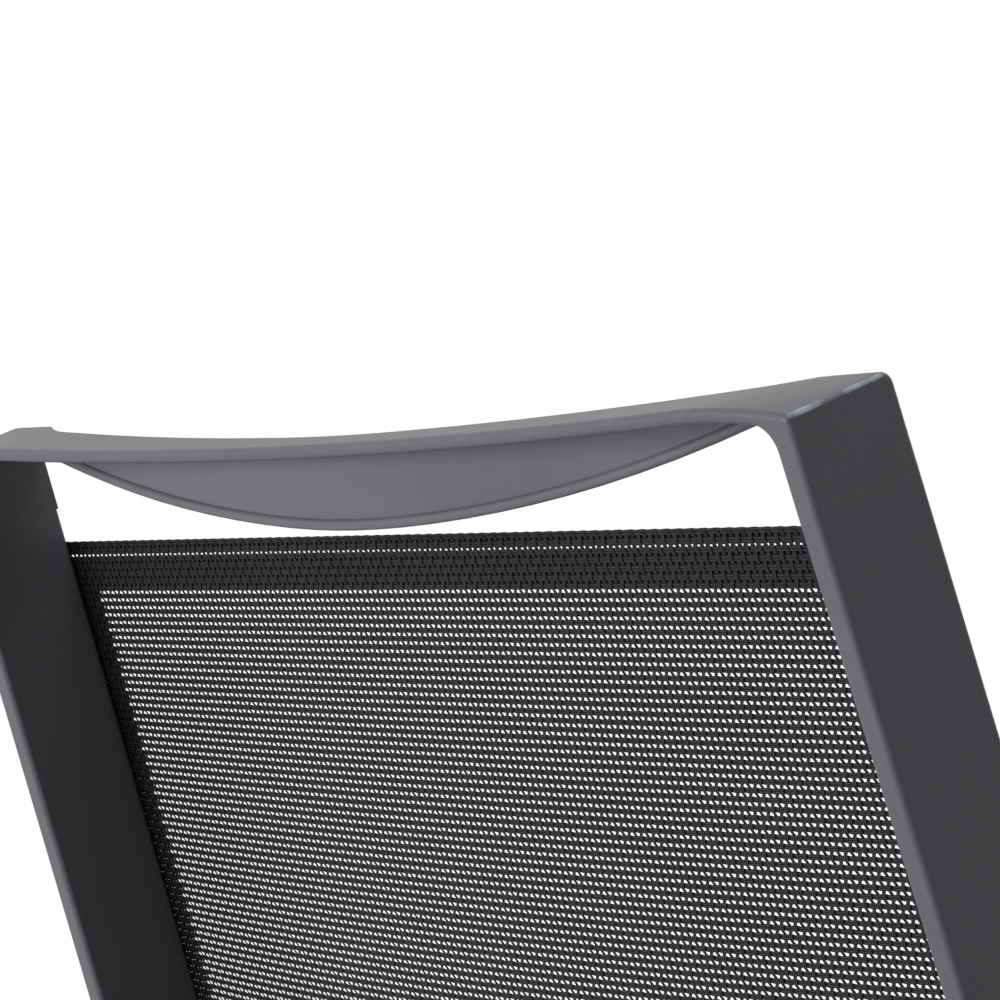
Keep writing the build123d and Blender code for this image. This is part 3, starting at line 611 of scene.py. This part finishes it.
def bead_edges(bm, to_back):
    """The outer edges that run along the bead."""
    edges = []
    for edge in bm.edges:
        ends = [to_back @ v.co for v in edge.verts]
        runs_along = abs(ends[0].x - ends[1].x) > 0.5 * edge.calc_length()
        low = all(abs(p.x) < apron_reach and above_rim(p) < bead_height + height_tolerance for p in ends)
        if runs_along and low and edge.is_convex and edge.calc_face_angle(0) > square_corner:
            edges.append(edge)
    return edges


def round_bead(bm):
    """Roll the outer edges of the bead, then draw its upper part in to the plate."""
    to_back = back_axes.inverted()
    edges = bead_edges(bm, to_back)
    bmesh.ops.bevel(bm, geom=edges, offset=bead_roll, offset_type="OFFSET", segments=5,
                    profile=0.5, affect="EDGES", clamp_overlap=False, material=-1)
    drawn = 0
    for vert in bm.verts:
        place = to_back @ vert.co
        share = (above_rim(place) - bead_roll) / (bead_height - bead_roll)
        inward = past_rear(place)
        on_face = abs(place.x) < apron_reach and -face_error < inward < bead_depth - plate_gap
        if on_face and 0 < share < highest_share:
            fade = min(1.0, (apron_reach - abs(place.x)) / fade_length)
            draw = bead_depth * (1 - math.sqrt(1 - min(share, 1.0) ** 2)) * fade
            place.z += max(draw - inward, 0.0)
            vert.co = back_axes @ place
            drawn += 1
    print("bead edges:", len(edges), "points drawn in:", drawn)


merged_copy("top_rail", "backrest", flat_degrees=0.05, shape=round_bead)

# %% [markdown]
# The stiles are straight extrusions with a groove for the sling. Their faces
# are flat, so more of their triangles can be merged than on the cast rail.

# %% Stiles
for node in ("stile_left", "stile_right"):
    merged_copy(node, "backrest", flat_degrees=0.5)

# %% [markdown]
# ## Woven sling fabric
#
# The fabric is a plain weave of coated yarns laid in pairs, so open that the
# light shows through. Holes masked out of a flat sheet would have no edges, and
# its yarns would not pass over and under each other. So every pair is one
# narrow ribbon: it passes over one crossing yarn and under the next, and its
# neighbours do the opposite.
#
# A hanging panel sags between its rails, and its two sides dive into the slots
# there. It is hemmed on all four sides with doubled cloth. The class below
# knows where each point of the flat cloth ends up.

# %% The hanging cloth
pitch_across = 0.0037
pitch_along = 0.00358
hem_depth = 0.024
side_hem = 0.013
slot_inset = 0.0054  # from a rail's inner face to its slot
tucked = 0.0025  # the cloth that dives into the slot


class Cloth:
    """A hanging panel: where a point of the flat cloth lies in the world."""

    def __init__(self, axes, ends, half_widths, face, sag):
        self.axes = np.array(axes)
        self.near, self.far = ends
        self.half_widths = half_widths
        self.face, self.sag = face, sag
        self.columns = round(2 * half_widths[1] / pitch_across)
        self.rows = round((self.far - self.near) / pitch_along)

    def half_width(self, along):
        return np.interp(along, (self.near, self.far), self.half_widths)

    def in_hem(self, across, along):
        """Whether a point of the panel lies in the doubled cloth at its borders."""
        ends = (along < self.near + hem_depth) | (along > self.far - hem_depth)
        inner = self.half_width(along) - slot_inset - tucked
        return ends | (np.abs(across) * self.half_width(along) > inner - side_hem)

    def place(self, across, along, lift):
        """World points; across runs from -1 to 1, and both ends dive into the slots."""
        share = np.interp(along, (self.near + hem_depth, self.far - hem_depth), (0, 1))
        slack = self.sag * np.sin(np.pi * share)
        inside = np.clip(1 - across ** 2, 0, 1)
        flat_x = across * self.half_width(along)
        slot = self.half_width(along) - tucked
        dive = np.maximum(np.abs(flat_x) - slot, 0)
        local = np.stack([np.clip(flat_x, -slot, slot), along,
                          self.face - slack * inside + lift - dive, np.ones_like(along)], -1)
        return local @ self.axes.T[:, :3]


print("weave pitch", pitch_across * 1000, "by", pitch_along * 1000, "mm")

# %% [markdown]
# ## The yarns' finish
#
# Each ribbon has a map of its own: U runs across it and V along it, one unit
# to each crossing. Two rounded ridges across U are the two yarns of a pair,
# with shade painted darker into the groove between them and along their sides.
# Round yarns could be modelled, but they would need many times as many faces.
# Coated yarn is dark and smooth, so the light slides along it in a narrow sheen.

# %% Fabric finish
ridge_depth = 0.00035
fibre_depth = 0.00003


def ridges(tree, coordinate, count):
    """Rounded ridges, count to each unit of the coordinate, from 0 to 1."""
    share = math_node(tree, "FRACT", math_node(tree, "MULTIPLY", coordinate, float(count)))
    fall = math_node(tree, "MULTIPLY", share, math_node(tree, "SUBTRACT", 1.0, share))
    return math_node(tree, "MULTIPLY", fall, 4.0)


def yarn_finish(name, colour, roughness):
    """Coated yarn in pairs, with painted shade in the groove between the two and along their sides."""
    material, tree, shader, place = new_finish(name, roughness, specular=0.13)
    uv = tree.nodes.new("ShaderNodeUVMap")
    uv.uv_map = "weave"
    across = add(tree, "ShaderNodeSeparateXYZ", Vector=uv.outputs[0]).outputs[0]
    yarn = ridges(tree, across, 2)
    fibre = noise(tree, place, scale=1900.0)
    tone = clouded(tree, noise(tree, place, scale=14.0, detail=3.0), colour, 0.9, 1.1)
    # painted shade: darker where the ridges fall, in the groove and at the ribbon's sides
    tone = mix_colours(tree, "MULTIPLY", 1.0, tone, grey_ramp(tree, yarn, (0.0, 0.45), (0.5, 1.0)))
    relief = bump(tree, fibre, fibre_depth, bump(tree, yarn, ridge_depth))
    feed_named(tree, shader, Base_Color=tone, Normal=relief)
    return material


sling_yarn = yarn_finish("sling_yarn", (0.0122, 0.0127, 0.0146), 0.45)
print("fabric finish:", sling_yarn.name)

# %% [markdown]
# ## Where the ribbons run
#
# The warp runs along the panel and the weft across it. The warp takes two
# points at each crossing, so that it lies flat over the crossing yarn and dives
# steeply into the gap, which gives the gaps their alternating three-cornered
# shapes when they are seen from the side. The weft takes one.
#
# In a hem the cloth is folded back over itself. Its second layer is laid half a
# yarn pair off, so that nearly every gap of one layer is closed by the other.
# One row of the second layer slips back towards the first, and so leaves a row
# of pin holes along the upper hem.

# %% Ribbon layouts
warp_width = 0.00205
weft_width = 0.00235
yarn_rise = 0.00038  # above and below the middle of the cloth
hole_row = 2  # counted from the far end
hole_slip = 0.6  # as a share of the offset between the layers


def warp_layout(cloth, points, shift, lift):
    """Across, along, lift and map coordinates of every warp point."""
    def layout(strip, point):
        column, side = strip // 2, strip % 2 * 2 - 1
        row, part = point // points, point % points
        step = (cloth.far - cloth.near) / cloth.rows
        along = cloth.near + (row + (part + 0.5) / points) * step
        centre = (2 * (column + shift) + 1) / cloth.columns - 1
        across = centre + side * warp_width / 2 / cloth.half_width(along)
        wave = yarn_rise * np.where((column + row) % 2 == 0, 1, -1)
        return across, along, lift + wave, (side + 1) / 2, along / pitch_along
    return layout


def weft_layout(cloth, shift, lift):
    """The same for the weft, with one point at each crossing."""
    def layout(strip, point):
        row, side = strip // 2, strip % 2 * 2 - 1
        step = (cloth.far - cloth.near) / cloth.rows
        slip = np.where(row == cloth.rows - hole_row, hole_slip * shift, 0)
        along = cloth.near + (row + 0.5 + shift - slip) * step + side * weft_width / 2
        across = (2 * point + 1) / cloth.columns - 1
        wave = yarn_rise * np.where((point + row) % 2 == 0, -1, 1)
        return across, along, lift + wave, (side + 1) / 2, point.astype(float)
    return layout


print("ribbons", round(warp_width * 1000, 2), "and", round(weft_width * 1000, 2), "mm wide")

# %% [markdown]
# ## Cutting ribbons from a grid
#
# Hundreds of separate ribbons would be slow to make one by one. Instead all the
# ribbons of one direction are cut from a single grid. First its points are
# moved onto the hanging cloth. Then the faces between the ribbons are deleted,
# and so are those on the other side of the hem's edge.

# %% Ribbon grids
def lay_ribbons(bm, cloth, strips, points, layout, uv_layer, hem):
    """Move the points of a new grid onto the cloth and cut it into ribbons."""
    fresh = bmesh.ops.create_grid(bm, x_segments=2 * strips - 1, y_segments=points - 1, size=1.0)["verts"]
    flat = np.array([v.co for v in fresh])
    strip = np.rint((flat[:, 0] + 1) / 2 * (2 * strips - 1)).astype(int)
    point = np.rint((flat[:, 1] + 1) / 2 * (points - 1)).astype(int)
    across, along, lift, u, v = layout(strip, point)
    wanted = cloth.in_hem(across, along) == hem
    corner_of = {}  # strip, U, V and whether the point belongs to this piece
    for vert, spot, *corner in zip(fresh, cloth.place(across, along, lift), strip, u, v, wanted):
        vert.co = spot
        corner_of[vert] = corner
    gaps = []
    for face in bm.faces:
        if face.verts[0] in corner_of:
            corners = [corner_of[loop.vert] for loop in face.loops]
            first = min(corners, key=lambda c: c[0])
            if first[0] % 2 == 1 or not first[3]:
                gaps.append(face)
            for loop, corner in zip(face.loops, corners):
                loop[uv_layer].uv = corner[1:3]
    bmesh.ops.delete(bm, geom=gaps, context="FACES")


print("ribbon cutter ready")

# %% [markdown]
# ## A panel and its hem
#
# A panel makes two pieces, the open middle and the hem round it, and together
# they stand for the solid of that sling. Warp and weft are joined in one mesh,
# because together they are one cloth. The flat size of the cloth is its visible
# middle with the hems unfolded.

# %% Panels
hem_shift = 0.5  # as a share of a yarn pair
hem_gap = 0.0009


def weave(name, cloth, body, points, hem=False):
    """The open middle of a panel, or its hem of two layers."""
    bm = bmesh.new()
    uv_layer = bm.loops.layers.uv.new("weave")
    for layer in range(2 if hem else 1):
        shift, lift = layer * hem_shift, layer * hem_gap
        warp = warp_layout(cloth, points, shift, lift)
        weft = weft_layout(cloth, -shift, lift)
        lay_ribbons(bm, cloth, cloth.columns - layer, points * cloth.rows, warp, uv_layer, hem)
        lay_ribbons(bm, cloth, cloth.rows, cloth.columns, weft, uv_layer, hem)
    bmesh.ops.recalc_face_normals(bm, faces=bm.faces)
    piece = new_piece(name, bm, body, sling_yarn)
    print(name, cloth.columns, "by", cloth.rows, "yarn pairs,", len(piece.data.polygons), "faces")
    return piece


def hang(panel_name, cloth, body, points, node):
    middle = weave(panel_name + "_weave", cloth, body, points)
    hem = weave(panel_name + "_hem", cloth, body, 1, hem=True)
    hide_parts(node)


print("a hem is", hem_depth * 1000, "mm deep at the ends and", side_hem * 1000, "mm at the sides")

# %% [markdown]
# ## The back panel
#
# The back panel is stretched between the stiles, which draw together towards
# the head end, so it is narrower there. Its ends and its face come from the
# sling's solid, and its width from the stiles' inner faces. It is seen close
# up, so its warp takes two points at each crossing.

# %% Back panel
cloth_thickness = 0.001
back_sag = 0.0205
end_zone = 0.002


def stile_inner(along):
    """Where the stile's inner face stands, at a place along the backrest."""
    first, last = stile[:, 1].min(), stile[:, 1].max()
    lower = stile[stile[:, 1] < first + end_zone][:, 0].min()
    upper = stile[stile[:, 1] > last - end_zone][:, 0].min()
    return np.interp(along, (first, last), (lower, upper))


back_cloth = local_points("back_sling", back_axes)
back_ends = (back_cloth[:, 1].min(), back_cloth[:, 1].max())
back_halves = [float(stile_inner(end)) + slot_inset + tucked for end in back_ends]
back_panel = Cloth(back_axes, back_ends, back_halves, back_cloth[:, 2].max() - cloth_thickness / 2, back_sag)
hang("back", back_panel, "backrest", 2, "back_sling")

# %% [markdown]
# ## The seat panel
#
# The seat is level, so its panel is laid out in the world's own axes, between
# the side rails of the base. It is farther from the camera, so one point at
# each crossing is enough for it, which halves the number of its warp's faces.

# %% Seat panel
seat_sag = 0.0125
seat_low, seat_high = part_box("seat_sling")
half_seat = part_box("side_rail_left")[0][0] + slot_inset + tucked
seat_panel = Cloth(Matrix.Identity(4), (seat_low[1], seat_high[1]), (half_seat, half_seat),
                   seat_high[2] - cloth_thickness / 2, seat_sag)
hang("seat", seat_panel, "base", 1, "seat_sling")
